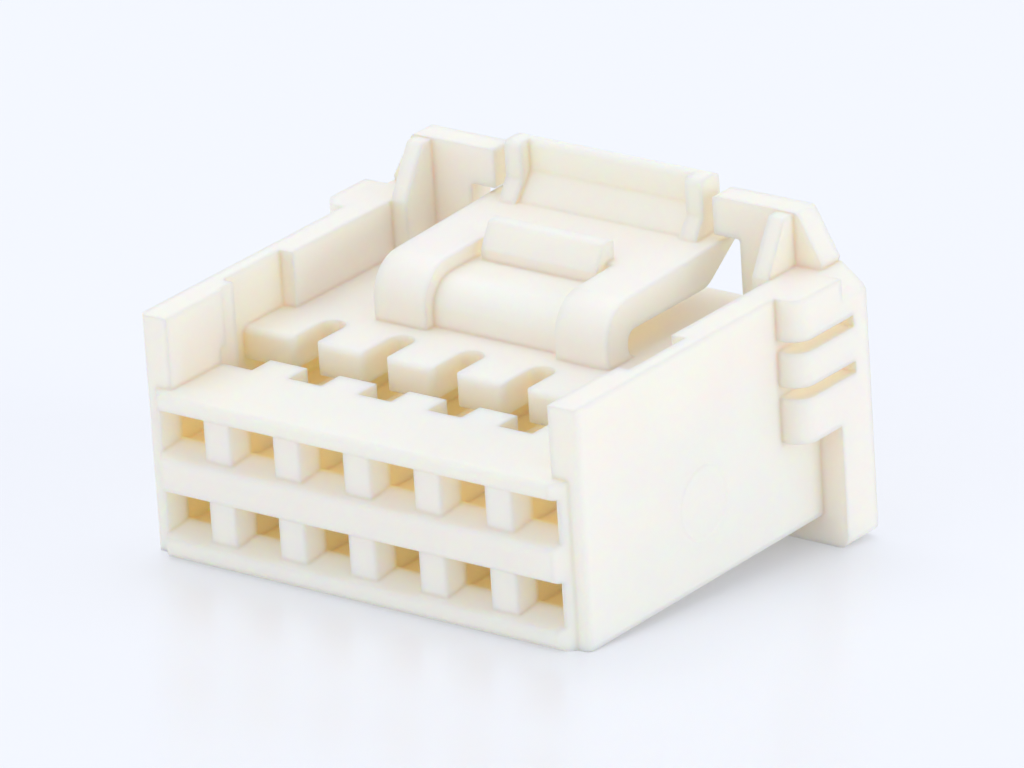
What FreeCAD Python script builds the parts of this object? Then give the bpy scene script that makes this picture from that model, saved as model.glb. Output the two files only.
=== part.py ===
import FreeCAD, Part
import math
import os
import re

import Sketcher

# Housing of a wire-to-board connector: one moulding with twelve terminal cavities in
# two rows, a locking arm on top and a flange at the wire end.
# X runs along the rows (0 is the plane of symmetry), Y from the mating face (0) to
# the wire end, Z up. Heights here count from the underside of the body; the finished
# housing is then lowered, so that its origin is the middle of the grid of terminals
# in the plane of the mating face. Millimetres.

SIZES = {
    # grid of the terminals
    "columns": 6,
    "pitch": 2.0,
    "row_pitch": 2.0,
    # body
    "body_width": 12.34,
    "deck_height": 4.45,
    "front_deck_drop": 0.37,
    "wall_height": 5.82,
    "corner_round": 0.16,
    # three bars across the mating face
    "bar_proud": 0.22,
    "bar_width": 11.7,
    "bar_chamfer": 0.2,
    "bar_lead": 0.085,
    "bar_round": 0.12,
    # mating openings: a funnel, a straight hole, and the cavity behind it
    "opening_width": 1.26,
    "opening_floor": 0.6,
    "funnel_depth": 0.46,
    "lip_depth": 0.1,
    "hole_width": 0.94,
    "hole_height": 0.875,
    "hole_floor": 0.8,
    "cavity_width": 1.56,
    "cavity_height": 1.175,
    "cavity_floor": 0.5,
    "entry_width": 1.66,
    "entry_height": 1.5,
    "entry_floor": 0.36,
    "entry_depth": 1.1,
    # windows in the front deck, and the gap between it and the comb
    "window_front": 2.27,
    "window_length": 0.7,
    # comb of blocks over the cavities
    "block_front": 3.57,
    "block_width": 1.36,
    "block_round": 0.16,
    "comb_slot_end": 4.95,
    "comb_slot_floor": 3.1,
    # side walls
    "post_front": 0.4,
    "post_thickness": 0.77,
    "post_end": 2.45,
    "post_step": 0.07,
    "thin_wall": 0.4,
    "thick_wall": 0.77,
    "thick_wall_start": 5.1,
    # flange at the wire end
    "flange_front": 9.45,
    "flange_thickness": 1.2,
    "flange_width": 13.64,
    "flange_drop": 0.75,
    "flange_round": 0.25,
    "shoulder_height": 5.33,
    # fins on the side walls
    "fin_front": 8.0,
    "fin_round": 0.5,
    "fin_bottom": 2.3,
    "fin_slot_height": 0.28,
    "lower_slot_floor": 3.4,
    "upper_slot_floor": 4.52,
    "fin_slot_end": 10.1,
    # guards beside the thumb pad
    "guard_thickness": 0.72,
    "guard_height": 7.1,
    "guard_gap": 7.7,
    "guard_root_width": 12.26,
    "guard_root_height": 5.95,
    "guard_top_width": 11.0,
    "guard_round": 0.14,
    "hook_gap": 6.25,
    "hook_bottom": 6.16,
    "gusset_inner": 4.94,
    "gusset_thickness": 0.46,
    "gusset_front": 8.85,
    "gusset_top_front": 9.6,
    # locking arm
    "arm_width": 6.66,
    "arm_front": 5.4,
    "arm_round": 0.92,
    "arm_top": 5.86,
    "arm_rise": 0.18,
    "arm_end": 10.44,
    "arm_end_thickness": 0.14,
    "arm_root": 0.78,
    "arm_underside": 5.12,
    "arm_bend": 9.3,
    "arm_slot_round": 0.28,
    # recess along the middle of the arm, and the nub that locks
    "recess_width": 3.7,
    "recess_depth": 0.3,
    "recess_end": 7.72,
    "nub_width": 3.3,
    "nub_front": 7.35,
    "nub_lead_height": 5.82,
    "nub_crest": 7.7,
    "nub_height": 6.42,
    "nub_end": 8.05,
    # thumb pad with a cheek at each end
    "pad_width": 5.65,
    "pad_crease": 9.75,
    "pad_foot": 6.66,
    "pad_front": 10.27,
    "pad_top": 7.4,
    "pad_round": 0.14,
    "cheek_width": 0.48,
    "cheek_front": 9.96,
    "cheek_proud": 0.14,
}
ROWS = 2

NORMALS = {"XY_Plane": 1, "XZ_Plane": -1, "YZ_Plane": 1}


def bound(text):
    """Expression in the words of SIZES, as the document writes it."""
    return re.sub(r"[a-z][a-z_]*", r"Sizes.\g<0>", str(text))


def add_sizes(doc):
    sheet = doc.addObject("Spreadsheet::Sheet", "Sizes")
    for line, (word, value) in enumerate(SIZES.items(), start=1):
        sheet.set("A%d" % line, word)
        sheet.set("B%d" % line, str(value))
        sheet.setAlias("B%d" % line, word)
    doc.recompute()
    return sheet


def origin_part(body, role):
    for feature in body.Origin.OriginFeatures:
        if feature.Role == role:
            return feature
    raise ValueError(role)


def unit(vector):
    length = math.hypot(vector[0], vector[1])
    return vector[0] / length, vector[1] / length


def rounded_corner(before, corner, after, radius):
    """Tangent points, centre and turn of a round of a corner."""
    to_before = unit((before[0] - corner[0], before[1] - corner[1]))
    to_after = unit((after[0] - corner[0], after[1] - corner[1]))
    half = math.acos(to_before[0] * to_after[0] + to_before[1] * to_after[1]) / 2
    reach = radius / math.tan(half)
    middle = unit((to_before[0] + to_after[0], to_before[1] + to_after[1]))
    start = (corner[0] + to_before[0] * reach, corner[1] + to_before[1] * reach)
    end = (corner[0] + to_after[0] * reach, corner[1] + to_after[1] * reach)
    away = radius / math.sin(half)
    centre = (corner[0] + middle[0] * away, corner[1] + middle[1] * away)
    turn = to_before[1] * to_after[0] - to_before[0] * to_after[1]
    return start, end, centre, turn > 0


def place_point(sketch, element, point, x, y, value):
    """Tie one point of the sketch to its coordinates."""
    for kind, text, number in (("DistanceX", x, value[0]), ("DistanceY", y, value[1])):
        index = sketch.addConstraint(Sketcher.Constraint(kind, -1, 1, element, point, number))
        sketch.setExpression("Constraints[%d]" % index, bound(text))


def add_outline(sketch, corners):
    """Closed outline of straight sides; a corner is (x, y) or (x, y, radius)."""
    points = [(float(sketch.evalExpression(bound(c[0]))), float(sketch.evalExpression(bound(c[1]))))
              for c in corners]
    count = len(corners)
    ends = []
    for i, corner in enumerate(corners):
        if len(corner) == 3:
            radius = float(sketch.evalExpression(bound(corner[2])))
            ends.append(rounded_corner(points[i - 1], points[i], points[(i + 1) % count], radius) + (radius,))
        else:
            ends.append((points[i], points[i], None, None, None))
    sides = []
    for i in range(count):
        start, end = ends[i][1], ends[(i + 1) % count][0]
        line = Part.LineSegment(FreeCAD.Vector(*start, 0), FreeCAD.Vector(*end, 0))
        sides.append(sketch.addGeometry(line, False))
    for i, corner in enumerate(corners):
        before, after = sides[i - 1], sides[i]
        if ends[i][2] is None:
            sketch.addConstraint(Sketcher.Constraint("Coincident", before, 2, after, 1))
            place_point(sketch, after, 1, corner[0], corner[1], points[i])
        else:
            add_round(sketch, before, after, corner, points[i], ends[i])


def add_round(sketch, before, after, corner, point, end):
    """Arc tangent to two sides, with the sharp corner kept as a construction point."""
    start, stop, centre, left, radius = end
    first, last = (start, stop) if left else (stop, start)
    angles = [math.atan2(p[1] - centre[1], p[0] - centre[0]) for p in (first, last)]
    if angles[1] < angles[0]:
        angles[1] += 2 * math.pi
    circle = Part.Circle(FreeCAD.Vector(*centre, 0), FreeCAD.Vector(0, 0, 1), radius)
    arc = sketch.addGeometry(Part.ArcOfCircle(circle, angles[0], angles[1]), False)
    sketch.addConstraint(Sketcher.Constraint("Tangent", before, 2, arc, 1 if left else 2))
    sketch.addConstraint(Sketcher.Constraint("Tangent", after, 1, arc, 2 if left else 1))
    index = sketch.addConstraint(Sketcher.Constraint("Radius", arc, radius))
    sketch.setExpression("Constraints[%d]" % index, bound(corner[2]))
    sharp = sketch.addGeometry(Part.Point(FreeCAD.Vector(*point, 0)), True)
    sketch.addConstraint(Sketcher.Constraint("PointOnObject", sharp, 1, before))
    sketch.addConstraint(Sketcher.Constraint("PointOnObject", sharp, 1, after))
    place_point(sketch, sharp, 1, corner[0], corner[1], point)


def add_sketch(body, name, role, height, outlines):
    """Sketch parallel to a plane of the body, at a height along the positive axis."""
    sketch = body.newObject("Sketcher::SketchObject", name)
    sketch.AttachmentSupport = [(origin_part(body, role), "")]
    sketch.MapMode = "FlatFace"
    sign = "" if NORMALS[role] > 0 else "-"
    sketch.setExpression("AttachmentOffset.Base.z", "%s(%s)" % (sign, bound(height)))
    for corners in outlines:
        add_outline(sketch, corners)
    return sketch


def extrude(body, name, role, start, length, outlines, cut=False):
    """Pad or pocket from one height to another along the positive axis."""
    sketch = add_sketch(body, name + "Outline", role, start, outlines)
    feature = body.newObject("PartDesign::Pocket" if cut else "PartDesign::Pad", name)
    feature.Profile = sketch
    feature.setExpression("Length", bound(length))
    feature.Reversed = (NORMALS[role] < 0) != cut
    body.Tip = feature
    return feature


def across(body, name, width, outlines, cut=False):
    """Pad or pocket of a side view, to both sides of the plane of symmetry."""
    return extrude(body, name, "YZ_Plane", "-(%s) / 2" % width, width, outlines, cut)


def repeat(body, feature, name, count, step):
    """Copies of a feature along the rows."""
    pattern = body.newObject("PartDesign::LinearPattern", name)
    pattern.Originals = [feature]
    pattern.Direction = (origin_part(body, "X_Axis"), [""])
    pattern.setExpression("Length", bound("(%s) * (%s - 1)" % (step, count)))
    pattern.setExpression("Occurrences", bound(count))
    body.Tip = pattern
    return pattern


def mirror(body, features, name):
    """The same features on the other side of the plane of symmetry."""
    copy = body.newObject("PartDesign::Mirrored", name)
    copy.Originals = features
    copy.MirrorPlane = (origin_part(body, "YZ_Plane"), [""])
    body.Tip = copy
    return copy


def rectangle(x, y, width, height):
    """Corners from the lower left one."""
    right, top = "%s + %s" % (x, width), "%s + %s" % (y, height)
    return [(x, y), (right, y), (right, top), (x, top)]


def column_rectangle(width, floor, height, row):
    """Rectangle in the first column, of the given row."""
    left = "-(columns - 1) * pitch / 2 - %s / 2" % width
    return rectangle(left, "%s + %d * row_pitch" % (floor, row), width, height)


def add_core(body):
    """Block round the cavities, lower in front of the comb."""
    side_view = [
        ("post_front", "0"),
        ("flange_front + flange_thickness / 2", "0"),
        ("flange_front + flange_thickness / 2", "deck_height"),
        ("block_front", "deck_height"),
        ("block_front", "deck_height - front_deck_drop"),
        ("post_front", "deck_height - front_deck_drop"),
    ]
    across(body, "Core", "body_width", [side_view])
    face = rectangle("bar_proud", "0", "post_front", "deck_height - front_deck_drop")
    across(body, "Face", "bar_width", [face])


def add_bars(body):
    """Bars that stand proud below, between and above the openings."""
    opening_top = "hole_floor + hole_height"
    into = "bar_proud + bar_round"
    bottom = [
        (into, "0"),
        ("bar_proud", "0"),
        ("0", "bar_chamfer", "bar_round"),
        ("0", "opening_floor - bar_lead", "bar_round / 2"),
        ("bar_proud", "opening_floor"),
        (into, "opening_floor"),
    ]
    middle = [
        (into, opening_top),
        ("0", opening_top, "bar_round"),
        ("0", "opening_floor - bar_lead + row_pitch", "bar_round"),
        ("bar_proud", "opening_floor + row_pitch"),
        (into, "opening_floor + row_pitch"),
    ]
    top = [
        (into, opening_top + " + row_pitch"),
        ("0", opening_top + " + row_pitch", "bar_round"),
        ("0", "deck_height - front_deck_drop", "bar_round"),
        (into, "deck_height - front_deck_drop"),
    ]
    across(body, "Bars", "bar_width", [bottom, middle, top])
    end = "bar_width / 2"
    corner = [
        (end + " - bar_proud * 1.4", "-bar_proud"),
        (end + " + bar_proud", "-bar_proud"),
        (end + " + bar_proud", "post_front"),
        (end, "post_front"),
        (end + " - bar_proud * 1.4", "0", "bar_proud / 2"),
    ]
    cut = extrude(body, "BarEnd", "XY_Plane", "0", "deck_height", [corner], cut=True)
    mirror(body, [cut], "BarEnds")


def add_walls(body):
    """Side wall in plan: thick post, thin stretch, thick stretch up to the flange."""
    outer = "body_width / 2"
    post = outer + " - post_thickness"
    plan = [
        (outer, "post_front"),
        (outer, "flange_front + flange_thickness"),
        (outer + " - thick_wall", "flange_front + flange_thickness"),
        (outer + " - thick_wall", "thick_wall_start"),
        (outer + " - thin_wall", "thick_wall_start"),
        (outer + " - thin_wall", "window_front + window_length"),
        (post + " + post_step", "window_front + window_length"),
        (post + " + post_step", "post_end + post_step"),
        (post, "post_end"),
        (post, "post_front"),
    ]
    wall = extrude(body, "Wall", "XY_Plane", "0", "wall_height", [plan])
    mirror(body, [wall], "Walls")


def add_flange(body):
    """Plate round the wire end, open between the walls above the deck."""
    half = "flange_width / 2"
    inner = "body_width / 2 - thick_wall"
    front_view = [
        ("-" + half, "-flange_drop", "flange_round"),
        (half, "-flange_drop", "flange_round"),
        (half, "shoulder_height", "flange_round"),
        ("body_width / 2", "wall_height"),
        (inner, "wall_height"),
        (inner, "deck_height"),
        ("-(%s)" % inner, "deck_height"),
        ("-(%s)" % inner, "wall_height"),
        ("-body_width / 2", "wall_height"),
        ("-" + half, "shoulder_height", "flange_round"),
    ]
    extrude(body, "Flange", "XZ_Plane", "flange_front", "flange_thickness", [front_view])


def add_fins(body):
    """Grip on each side wall: a pad with a rounded front, cut into three fins."""
    inner = "body_width / 2 - thin_wall"
    outer = "flange_width / 2"
    plan = [
        (inner, "fin_front"),
        (outer, "fin_front", "fin_round"),
        (outer, "flange_front + flange_round"),
        (inner, "flange_front + flange_round"),
    ]
    fins = extrude(body, "Fins", "XY_Plane", "fin_bottom", "wall_height - fin_bottom", [plan])
    mirror(body, [fins], "FinPair")
    slots = [
        rectangle("fin_front - 1", floor, "fin_slot_end - fin_front + 1", "fin_slot_height")
        for floor in ("lower_slot_floor", "upper_slot_floor")
    ]
    cut = extrude(body, "FinSlots", "YZ_Plane", "body_width / 2", "flange_width", slots, cut=True)
    mirror(body, [cut], "FinSlotPair")


def add_guards(body):
    """Thin plates at the wire end that hook in towards the thumb pad, with gussets."""
    front_view = [
        ("guard_gap / 2", "deck_height - thin_wall / 2"),
        ("body_width / 2 - thin_wall", "deck_height - thin_wall / 2"),
        ("guard_root_width / 2", "guard_root_height"),
        ("guard_top_width / 2", "guard_height", "guard_round"),
        ("hook_gap / 2", "guard_height", "guard_round / 2"),
        ("hook_gap / 2", "hook_bottom", "guard_round / 3"),
        ("guard_gap / 2", "hook_bottom", "guard_round / 2"),
    ]
    rear = "flange_front + flange_thickness"
    guard = extrude(body, "Guard", "XZ_Plane", rear + " - guard_thickness", "guard_thickness", [front_view])
    side_view = [
        ("gusset_front", "deck_height - thin_wall / 2"),
        (rear + " - guard_thickness / 2", "deck_height - thin_wall / 2"),
        (rear + " - guard_thickness / 2", "guard_height - guard_round / 4"),
        ("gusset_top_front", "guard_height - guard_round / 4", "guard_round"),
        ("gusset_front", "wall_height"),
    ]
    gusset = extrude(body, "Gusset", "YZ_Plane", "gusset_inner", "gusset_thickness", [side_view])
    mirror(body, [guard, gusset], "GuardPair")


def cut_cavities(body):
    """Funnels, mating holes, cavities and wire entries, in every column and row."""
    rear = "flange_front + flange_thickness"
    inside = "bar_proud + funnel_depth + lip_depth"
    steps = (
        ("Holes", "hole", "bar_proud", "funnel_depth + lip_depth"),
        ("Cavities", "cavity", inside, rear + " - (%s)" % inside),
        ("Entries", "entry", rear + " - entry_depth", "entry_depth"),
    )
    for name, word, start, length in steps:
        sizes = [part % word for part in ("%s_width", "%s_floor", "%s_height")]
        outlines = [column_rectangle(*sizes, row) for row in range(ROWS)]
        cut = extrude(body, name, "XZ_Plane", start, length, outlines, cut=True)
        repeat(body, cut, name + "Row", "columns", "pitch")
    for row in range(ROWS):
        cut_funnel(body, row)


def cut_funnel(body, row):
    """Lead-in of a row of mating holes, level with them at the top."""
    height = "hole_floor + hole_height - opening_floor"
    front = column_rectangle("opening_width", "opening_floor", height, row)
    rear = column_rectangle("hole_width", "hole_floor", "hole_height", row)
    name = "Funnel%d" % (row + 1)
    cut = body.newObject("PartDesign::SubtractiveLoft", name)
    cut.Profile = add_sketch(body, name + "Front", "XZ_Plane", "bar_proud", [front])
    cut.Sections = [add_sketch(body, name + "Rear", "XZ_Plane", "bar_proud + funnel_depth", [rear])]
    cut.Ruled = True
    body.Tip = cut
    repeat(body, cut, name + "Row", "columns", "pitch")


def cut_windows(body):
    """Gap between the front deck and the comb, and a window over each mating hole."""
    turn = "window_front + window_length"
    wide = "body_width - 2 * thin_wall"
    depth = "deck_height - comb_slot_floor"
    gap = rectangle("-(%s) / 2" % wide, turn, wide, "block_front - (%s)" % turn)
    extrude(body, "Gap", "XY_Plane", "comb_slot_floor", depth, [gap], cut=True)
    left = "-(columns - 1) * pitch / 2 - hole_width / 2"
    outline = rectangle(left, "window_front", "hole_width", "window_length")
    middle = "hole_floor + hole_height / 2 + row_pitch"
    window = extrude(body, "Window", "XY_Plane", middle, "deck_height - (%s)" % middle, [outline], cut=True)
    repeat(body, window, "Windows", "columns", "pitch")


def cut_comb(body):
    """Slots over the partitions, round at the rear, that leave one block per cavity."""
    middle = "-(columns - 2) * pitch / 2"
    half = "(pitch - block_width) / 2"
    left, right = "%s - %s" % (middle, half), "%s + %s" % (middle, half)
    nearly = "(pitch - block_width) * 0.49"
    outline = [
        (left, "block_front - 0.1"),
        (right, "block_front - 0.1"),
        (right, "comb_slot_end", nearly),
        (left, "comb_slot_end", nearly),
    ]
    depth = "deck_height - comb_slot_floor"
    slot = extrude(body, "CombSlot", "XY_Plane", "comb_slot_floor", depth, [outline], cut=True)
    repeat(body, slot, "Comb", "columns - 1", "pitch")


def add_arm(body):
    """Locking arm: rises from the deck, turns back over it and carries the thumb pad."""
    root_rear = "arm_front + arm_root"
    side_view = [
        ("arm_front", "deck_height - arm_root / 4"),
        (root_rear + " + arm_root", "deck_height - arm_root / 4"),
        (root_rear + " + arm_root", "deck_height"),
        (root_rear, "deck_height", "arm_slot_round"),
        (root_rear, "arm_underside", "arm_slot_round"),
        ("arm_bend", "arm_underside", "arm_root"),
        ("arm_end", "arm_top + arm_rise - arm_end_thickness"),
        ("arm_end", "arm_top + arm_rise"),
        ("arm_front", "arm_top", "arm_round"),
    ]
    across(body, "Arm", "arm_width", [side_view])
    inner = [
        ("arm_front - recess_depth", "deck_height"),
        ("arm_front + recess_depth", "deck_height"),
        ("arm_front + recess_depth", "arm_top - recess_depth", "arm_round * 0.8"),
        ("recess_end", "arm_top - recess_depth"),
        ("recess_end", "arm_top + arm_rise"),
        ("arm_front - recess_depth", "arm_top + arm_rise"),
    ]
    across(body, "ArmRecess", "recess_width", [inner], cut=True)
    nub = [
        ("nub_front", "arm_top - recess_depth * 2"),
        ("nub_end", "arm_top - recess_depth * 2"),
        ("nub_end", "nub_height", "bar_round / 2"),
        ("nub_crest", "nub_height", "bar_round"),
        ("nub_front", "nub_lead_height"),
    ]
    across(body, "Nub", "nub_width", [nub])


def add_thumb_pad(body):
    """Ramp and hollow front of the thumb pad, between two cheeks."""
    rear = "flange_front + flange_thickness"
    pad = [
        ("pad_crease", "arm_top - recess_depth / 2"),
        ("pad_crease + recess_depth", "arm_top - recess_depth / 2"),
        (rear, "pad_foot - recess_depth"),
        (rear, "pad_top", "pad_round"),
        ("pad_front", "pad_top", "pad_round"),
        ("pad_front", "pad_foot"),
        ("pad_crease", "arm_top + arm_rise * 0.8"),
    ]
    across(body, "ThumbPad", "pad_width", [pad])
    cheek_view = [
        ("pad_crease + recess_depth", "arm_top - recess_depth / 2"),
        (rear, "pad_foot - recess_depth"),
        (rear, "pad_top", "pad_round"),
        ("cheek_front", "pad_top", "pad_round"),
        ("cheek_front", "pad_foot - cheek_proud"),
        ("pad_crease - cheek_proud", "arm_top + arm_rise * 0.8"),
        ("pad_crease - cheek_proud", "arm_top - recess_depth / 2"),
    ]
    start = "pad_width / 2 - cheek_width"
    cheek = extrude(body, "Cheek", "YZ_Plane", start, "cheek_width", [cheek_view])
    mirror(body, [cheek], "Cheeks")


def edges_where(shape, test):
    """Names of the straight edges whose two ends pass a test."""
    names = []
    for number, edge in enumerate(shape.Edges, start=1):
        ends = [v.Point for v in edge.Vertexes]
        if len(ends) == 2 and edge.Curve.TypeId == "Part::GeomLine" and test(*ends):
            names.append("Edge%d" % number)
    return names


def close(first, second):
    return abs(first - second) < 0.001


def add_fillet(body, name, radius, test):
    body.Document.recompute()
    base = body.Tip
    fillet = body.newObject("PartDesign::Fillet", name)
    fillet.Base = (base, edges_where(base.Shape, test))
    fillet.setExpression("Radius", bound(radius))
    body.Tip = fillet
    return fillet


def round_edges(body, sheet):
    """Front corners of the body and front edges of the comb blocks."""
    half, face = sheet.body_width / 2, sheet.post_front

    def front_corner(a, b):
        return all(close(abs(p.x), half) and close(p.y, face) for p in (a, b)) and not close(a.z, b.z)

    def block_edge(a, b):
        if not all(close(p.y, sheet.block_front) for p in (a, b)):
            return False
        level = close(a.z, sheet.deck_height) and close(b.z, sheet.deck_height)
        upright = close(a.x, b.x) and max(a.z, b.z) > sheet.deck_height - 0.001
        return level or upright and abs(a.x) < (sheet.columns - 1) * sheet.pitch / 2

    add_fillet(body, "FrontCorners", "corner_round", front_corner)
    add_fillet(body, "BlockEdges", "block_round", block_edge)


def build_housing(doc, sheet):
    body = doc.addObject("PartDesign::Body", "Housing")
    body.Label = "housing"
    grid_middle = "hole_floor + hole_height / 2 + row_pitch / 2"
    body.setExpression("Placement.Base.z", "-(%s)" % bound(grid_middle))
    add_core(body)
    add_bars(body)
    add_walls(body)
    add_flange(body)
    add_fins(body)
    add_guards(body)
    cut_windows(body)
    cut_comb(body)
    cut_cavities(body)
    add_arm(body)
    add_thumb_pad(body)
    round_edges(body, sheet)
    return body


def check(doc, bodies):
    for obj in doc.Objects:
        if "Invalid" in obj.State or "Error" in obj.State:
            raise RuntimeError("%s failed: %s" % (obj.Name, obj.State))
    for body in bodies:
        shape = body.Shape
        if shape.isNull() or not shape.isValid() or len(shape.Solids) != 1:
            raise RuntimeError("%s has no single valid solid" % body.Label)


def main():
    os.makedirs("parts", exist_ok=True)
    doc = FreeCAD.newDocument("Connector")
    sheet = add_sizes(doc)
    bodies = [build_housing(doc, sheet)]
    doc.recompute()
    check(doc, bodies)
    for body in bodies:
        body.Shape.exportStep("parts/%s.step" % body.Label)
        box = body.Shape.BoundBox
        print(body.Label, "volume %.3f" % body.Shape.Volume,
              "box %.3f %.3f %.3f" % (box.XLength, box.YLength, box.ZLength))


main()
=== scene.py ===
import bpy
import math
from mathutils import Matrix, Vector

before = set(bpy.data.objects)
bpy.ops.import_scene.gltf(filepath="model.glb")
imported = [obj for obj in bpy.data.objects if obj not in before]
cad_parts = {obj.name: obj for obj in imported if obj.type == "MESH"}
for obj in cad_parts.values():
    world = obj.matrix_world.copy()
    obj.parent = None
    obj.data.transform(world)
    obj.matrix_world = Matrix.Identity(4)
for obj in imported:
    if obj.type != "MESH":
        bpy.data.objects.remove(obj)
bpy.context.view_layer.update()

# Places in the frame, in metres: X across, Y from the mating face to the rear, Z up.
# The housing stands on the front edge of the body's underside and on the lower edge of the
# flange, which hangs a little below the body.
UNDERSIDE = -0.0022375
FRONT_FOOT = 0.00045
FLANGE_FOOT = 0.00945
FLANGE_DROP = 0.00075
DECK = 0.0022125
MIDDLE = Vector((0, 0.005, 0.001))
FLOOR_GAP = 0.00001
FLOOR_HALF = 1.5

# Modelled radius of the edges, and the softer radius of the shading around them.
WELD_GAP = 0.0000005
EDGE_ANGLE = math.radians(35)
EDGE_RADIUS = 0.00006
SHADED_RADIUS = 0.00021

# Round mould mark on the right wall. It and the grain are in the normals, not in the shape.
MARK_CENTRE = (0.00617, 0.00492, -0.00028)
MARK_RADIUS = 0.00082
MARK_EDGE = 0.0001
MARK_BUMP = {"Strength": 0.4, "Distance": 0.00005}
GRAIN_BUMP = {"Strength": 0.12, "Distance": 0.00001}

# Plastic in the open (two tones, clouded), then painted shade: a warm tint where it is in
# shade, and amber in deep hollows.
IVORY = ((0.35, (0.902, 0.890, 0.850, 1)), (0.65, (0.911, 0.902, 0.870, 1)))
PAINTED_SHADE_WARM = (0.89, 0.83, 0.715, 1.0)
PAINTED_HOLLOW_AMBER = (0.84, 0.70, 0.43, 1.0)
ROUGHNESS = {"To Min": 0.42, "To Max": 0.56}
BODY = {"Subsurface Weight": 0.85, "Subsurface Radius": (1.0, 0.62, 0.28),
        "Subsurface Scale": 0.0007, "IOR": 1.5}

# Painted glow standing for light that comes through the walls, weaker in the lower row: its
# colour between the fins and above the deck, its colour inside the body, and its strength in
# the two rows.
PALE_GLOW = (0.46, 0.43, 0.35, 1.0)
AMBER_GLOW = (0.88, 0.68, 0.28, 1.0)
ROW_GLOWS = (0.29, 0.40)

# Runs of the painted shade and painted glow, each from nothing to full. Two are shares of the
# open air around a spot, within its reach. The others are places: from the fins inwards, from
# above the deck downwards, from the mating face to the rear, and from the lower row up to the
# other.
AIR_REACH = 0.0016
SHADE_RUN = (0.88, 0.42)
HOLLOW_RUN = (0.36, 0.02)
WALL_RUN = (0.0062, 0.0058)
DECK_RUN = (DECK + 0.0002, DECK - 0.0002)
FACE_RUN = (0.0006, 0.0010)
ROW_RUN = (-0.0008, 0.0008)

# Background as it is seen, and the light from all around.
PALE = (0.905, 0.930, 1.0, 1.0)
BACKGROUND = {"Color": PALE, "Strength": 1.0}
SURROUNDINGS = {"Color": (0.97, 0.98, 1.0, 1), "Strength": 0.76}

# Floor: its colour, and the colour and strength of a little light of its own.
FLOOR_TO_OBJECT = ((0.72, 0.72, 0.72, 1), (1.0, 0.97, 0.92, 1), 0.20)
FLOOR_SHOWN = ((0.765, 0.785, 0.84, 1), PALE, 0.17)
FLOOR_GLOSS = {"Color": (1, 1, 1, 1), "Roughness": 0.22}
FLOOR_SHEEN = 0.14

# Lamps: name, place, size in metres, power in watts, colour.
LAMPS = (
    ("top", (-0.09, 0.07, 0.38), 0.34, 0.39, (1, 1, 1)),
    ("right", (0.44, 0.12, 0.07), 0.26, 0.47, (1, 1, 1)),
    ("front", (-0.12, -0.44, 0.05), 0.30, 0.34, (0.91, 0.955, 1.0)),
)

# Camera of the photograph, fitted to the openings and the long edges. Lens and sensor in mm.
LENS = 368.6
SENSOR = 36.0
CAMERA_PLACE = (0.137543, -0.169083, 0.0906865)
CAMERA_RIGHT = Vector((0.79988935, 0.59707765, -0.06062421))
CAMERA_DOWN = Vector((0.17880243, -0.33352083, -0.92563143))


def tree_of(owner):
    """Empty node tree of a material or world."""
    owner.use_nodes = True
    owner.node_tree.nodes.clear()
    return owner.node_tree


def link(tree, source, target):
    tree.links.new(source, target)


def add(tree, kind, **values):
    """Node with attributes by name, and input values under inputs={}."""
    node = tree.nodes.new(kind)
    inputs = values.pop("inputs", {})
    for name, value in values.items():
        setattr(node, name, value)
    for name, value in inputs.items():
        node.inputs[name].default_value = value
    return node


def maths(tree, operation, *sources):
    """Output of a maths node over one or two sockets."""
    node = add(tree, "ShaderNodeMath", operation=operation)
    for index, source in enumerate(sources):
        link(tree, source, node.inputs[index])
    return node.outputs[0]


def share(tree, value, run, low=0.0, high=1.0):
    """Low at the start of the run and high at its end, with a soft change between them."""
    start, end = run
    node = add(tree, "ShaderNodeMapRange", interpolation_type="SMOOTHSTEP",
               inputs={"From Min": start, "From Max": end, "To Min": low, "To Max": high})
    link(tree, value, node.inputs["Value"])
    return node.outputs["Result"]


def blend(tree, factor, colour, target):
    """Colour of a socket, turned to a fixed target by a factor."""
    node = add(tree, "ShaderNodeMix", data_type="RGBA")
    node.inputs[7].default_value = target
    link(tree, factor, node.inputs[0])
    link(tree, colour, node.inputs[6])
    return node.outputs[2]


def noise(tree, place, scale, detail, roughness):
    """Even noise; the scale is in waves per metre."""
    node = add(tree, "ShaderNodeTexNoise",
               inputs={"Scale": scale, "Detail": detail, "Roughness": roughness})
    link(tree, place, node.inputs["Vector"])
    return node.outputs["Fac"]


def mixed(tree, first, second):
    """Mix shader node with its two shaders linked."""
    node = add(tree, "ShaderNodeMixShader")
    link(tree, first, node.inputs[1])
    link(tree, second, node.inputs[2])
    return node


def seen_directly(tree):
    """1 for rays from the camera, and for those of gloss and glass."""
    path = add(tree, "ShaderNodeLightPath")
    near = maths(tree, "MAXIMUM", path.outputs["Is Camera Ray"], path.outputs["Is Glossy Ray"])
    return maths(tree, "MAXIMUM", near, path.outputs["Is Transmission Ray"])


def set_surface(tree, kind, lighting, shown):
    """Output node: one shader lights the object, the other is what is seen directly."""
    node = mixed(tree, lighting, shown)
    link(tree, seen_directly(tree), node.inputs["Fac"])
    link(tree, node.outputs[0], add(tree, kind).inputs["Surface"])


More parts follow.
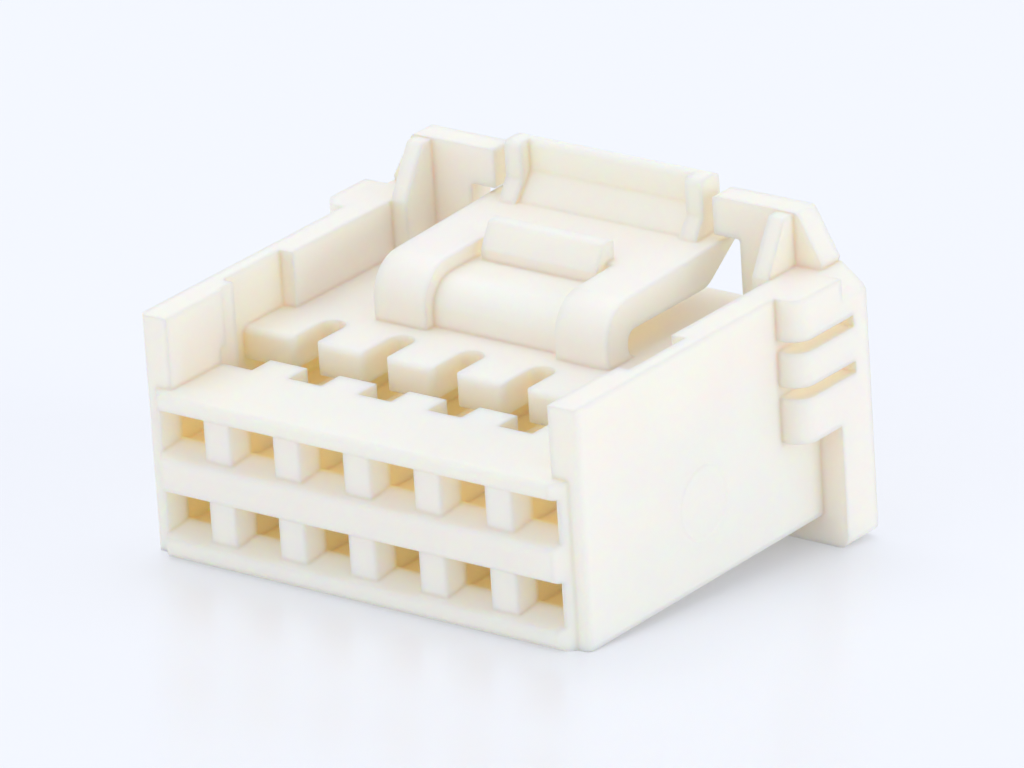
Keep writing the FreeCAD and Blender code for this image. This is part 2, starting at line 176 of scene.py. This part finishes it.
def painted_shade_and_glow(tree, ivory, spot):
    """Painted glow standing for light through the walls (strength and colour), and ivory with
    painted shade: warmer where shaded, amber in deep hollows.
    """
    open_air = add(tree, "ShaderNodeAmbientOcclusion", samples=3, only_local=True,
                   inputs={"Distance": AIR_REACH}).outputs["AO"]
    shade = maths(tree, "MULTIPLY", share(tree, open_air, SHADE_RUN),
                  share(tree, spot["Y"], FACE_RUN))
    deep = share(tree, open_air, HOLLOW_RUN)
    inside = maths(tree, "MINIMUM",
                   share(tree, maths(tree, "ABSOLUTE", spot["X"]), WALL_RUN),
                   share(tree, spot["Z"], DECK_RUN))
    # Painted glow in deep hollows, standing for light through the walls; weaker in the lower
    # row.
    strength = maths(tree, "MULTIPLY", deep, share(tree, spot["Z"], ROW_RUN, *ROW_GLOWS))
    pale_glow = add(tree, "ShaderNodeRGB").outputs[0]
    pale_glow.default_value = PALE_GLOW
    glow = blend(tree, inside, pale_glow, AMBER_GLOW)
    # Painted shade: ivory turned warm where the spot is shaded.
    painted_shade_ivory = blend(tree, shade, ivory, PAINTED_SHADE_WARM)
    # Painted shade: amber in deep hollows inside the body.
    return strength, glow, blend(tree, maths(tree, "MULTIPLY", deep, inside), painted_shade_ivory, PAINTED_HOLLOW_AMBER)


def clouded_ivory(tree, place):
    """Ivory that varies faintly over some millimetres."""
    tint = add(tree, "ShaderNodeValToRGB")
    for element, (position, colour) in zip(tint.color_ramp.elements, IVORY):
        element.position = position
        element.color = colour
    link(tree, noise(tree, place, 260.0, 3.0, 0.5), tint.inputs["Fac"])
    return tint.outputs["Color"]


def surface_normal(tree, place, grain):
    """Soft edges, with the round mark and the fine grain on top."""
    reach = add(tree, "ShaderNodeVectorMath", operation="DISTANCE")
    reach.inputs[1].default_value = MARK_CENTRE
    link(tree, place, reach.inputs[0])
    mark = share(tree, reach.outputs["Value"], (MARK_RADIUS, MARK_RADIUS + MARK_EDGE))
    normal = add(tree, "ShaderNodeBevel", samples=2,
                 inputs={"Radius": SHADED_RADIUS}).outputs["Normal"]
    for height, depth in ((mark, MARK_BUMP), (grain, GRAIN_BUMP)):
        bump = add(tree, "ShaderNodeBump", inputs=depth)
        link(tree, height, bump.inputs["Height"])
        link(tree, normal, bump.inputs["Normal"])
        normal = bump.outputs["Normal"]
    return normal


def ivory_plastic():
    """Satin moulded nylon: faintly clouded ivory that lets a little light through, with
    painted shade and a painted glow in its hollows.
    """
    material = bpy.data.materials.new("ivory_plastic")
    tree = tree_of(material)
    place = add(tree, "ShaderNodeTexCoord").outputs["Object"]
    spot = add(tree, "ShaderNodeSeparateXYZ")
    link(tree, place, spot.inputs[0])
    grain = noise(tree, place, 9000.0, 2.0, 0.6)
    rough = add(tree, "ShaderNodeMapRange", inputs=ROUGHNESS)
    link(tree, grain, rough.inputs["Value"])
    # Painted shade goes into the base colour and a painted glow into the emission.
    strength, glow, colour = painted_shade_and_glow(tree, clouded_ivory(tree, place), spot.outputs)
    shader = add(tree, "ShaderNodeBsdfPrincipled", inputs=BODY)
    link(tree, colour, shader.inputs["Base Color"])
    link(tree, glow, shader.inputs["Emission Color"])
    link(tree, strength, shader.inputs["Emission Strength"])
    link(tree, rough.outputs["Result"], shader.inputs["Roughness"])
    link(tree, surface_normal(tree, place, grain), shader.inputs["Normal"])
    output = add(tree, "ShaderNodeOutputMaterial")
    link(tree, shader.outputs[0], output.inputs["Surface"])
    return material


def lit_and_glowing(tree, colour, glow_colour, strength):
    """Diffuse shader with a little light of its own."""
    lit = add(tree, "ShaderNodeBsdfDiffuse", inputs={"Color": colour})
    glow = add(tree, "ShaderNodeEmission", inputs={"Color": glow_colour, "Strength": strength})
    both = add(tree, "ShaderNodeAddShader")
    link(tree, lit.outputs[0], both.inputs[0])
    link(tree, glow.outputs[0], both.inputs[1])
    return both.outputs[0]


def floor_surface():
    """Pale sheet: plain white to the object, pale blue with soft shadows to the camera."""
    material = bpy.data.materials.new("pale_floor")
    tree = tree_of(material)
    gloss = add(tree, "ShaderNodeBsdfGlossy", inputs=FLOOR_GLOSS)
    sheen = mixed(tree, lit_and_glowing(tree, *FLOOR_SHOWN), gloss.outputs[0])
    sheen.inputs["Fac"].default_value = FLOOR_SHEEN
    set_surface(tree, "ShaderNodeOutputMaterial", lit_and_glowing(tree, *FLOOR_TO_OBJECT),
                sheen.outputs[0])
    return material


def add_floor():
    """Large sheet under both feet of the housing, tilted by the drop of the flange."""
    slope = FLANGE_DROP / (FLANGE_FOOT - FRONT_FOOT)
    corners = [(x, y, UNDERSIDE - FLOOR_GAP - slope * (y - FRONT_FOOT))
               for x, y in ((-FLOOR_HALF, -FLOOR_HALF), (FLOOR_HALF, -FLOOR_HALF),
                            (FLOOR_HALF, FLOOR_HALF), (-FLOOR_HALF, FLOOR_HALF))]
    mesh = bpy.data.meshes.new("floor")
    mesh.from_pydata(corners, [], [(0, 1, 2, 3)])
    floor = bpy.data.objects.new("floor", mesh)
    bpy.context.scene.collection.objects.link(floor)
    floor.data.materials.append(floor_surface())


def add_world():
    """Soft light from all around, behind it a pale background."""
    world = bpy.data.worlds.new("studio")
    bpy.context.scene.world = world
    tree = tree_of(world)
    light = add(tree, "ShaderNodeBackground", inputs=SURROUNDINGS)
    shown = add(tree, "ShaderNodeBackground", inputs=BACKGROUND)
    set_surface(tree, "ShaderNodeOutputWorld", light.outputs[0], shown.outputs[0])


def add_lamp(name, place, size, power, colour):
    """Square soft light aimed at the middle of the object."""
    lamp = bpy.data.lights.new(name, "AREA")
    lamp.size = size
    lamp.energy = power
    lamp.color = colour
    holder = bpy.data.objects.new(name, lamp)
    holder.location = place
    aim = MIDDLE - Vector(place)
    holder.rotation_euler = aim.to_track_quat("-Z", "Y").to_euler()
    bpy.context.scene.collection.objects.link(holder)


def add_camera():
    """Viewing angle of the photograph: a long lens from the front right, above."""
    camera = bpy.data.cameras.new("camera")
    camera.sensor_width = SENSOR
    camera.lens = LENS
    camera.clip_start = 0.01
    camera.clip_end = 10.0
    holder = bpy.data.objects.new("camera", camera)
    ahead = CAMERA_RIGHT.cross(CAMERA_DOWN)
    turn = Matrix((CAMERA_RIGHT, -CAMERA_DOWN, -ahead)).transposed()
    holder.matrix_world = Matrix.Translation(CAMERA_PLACE) @ turn.to_4x4()
    bpy.context.scene.collection.objects.link(holder)
    bpy.context.scene.camera = holder


def soften_edges(node):
    """Small moulded radius along the sharp edges."""
    weld = node.modifiers.new("weld", "WELD")
    weld.merge_threshold = WELD_GAP
    bevel = node.modifiers.new("edge_radius", "BEVEL")
    bevel.width = EDGE_RADIUS
    bevel.segments = 2
    bevel.limit_method = "ANGLE"
    bevel.angle_limit = EDGE_ANGLE
    bevel.harden_normals = True


def main():
    plastic = ivory_plastic()
    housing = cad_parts["housing"]
    for slot in housing.material_slots:
        slot.material = plastic
    soften_edges(housing)
    add_floor()
    add_world()
    for lamp in LAMPS:
        add_lamp(*lamp)
    add_camera()
    bpy.context.scene.view_settings.view_transform = "Standard"


main()
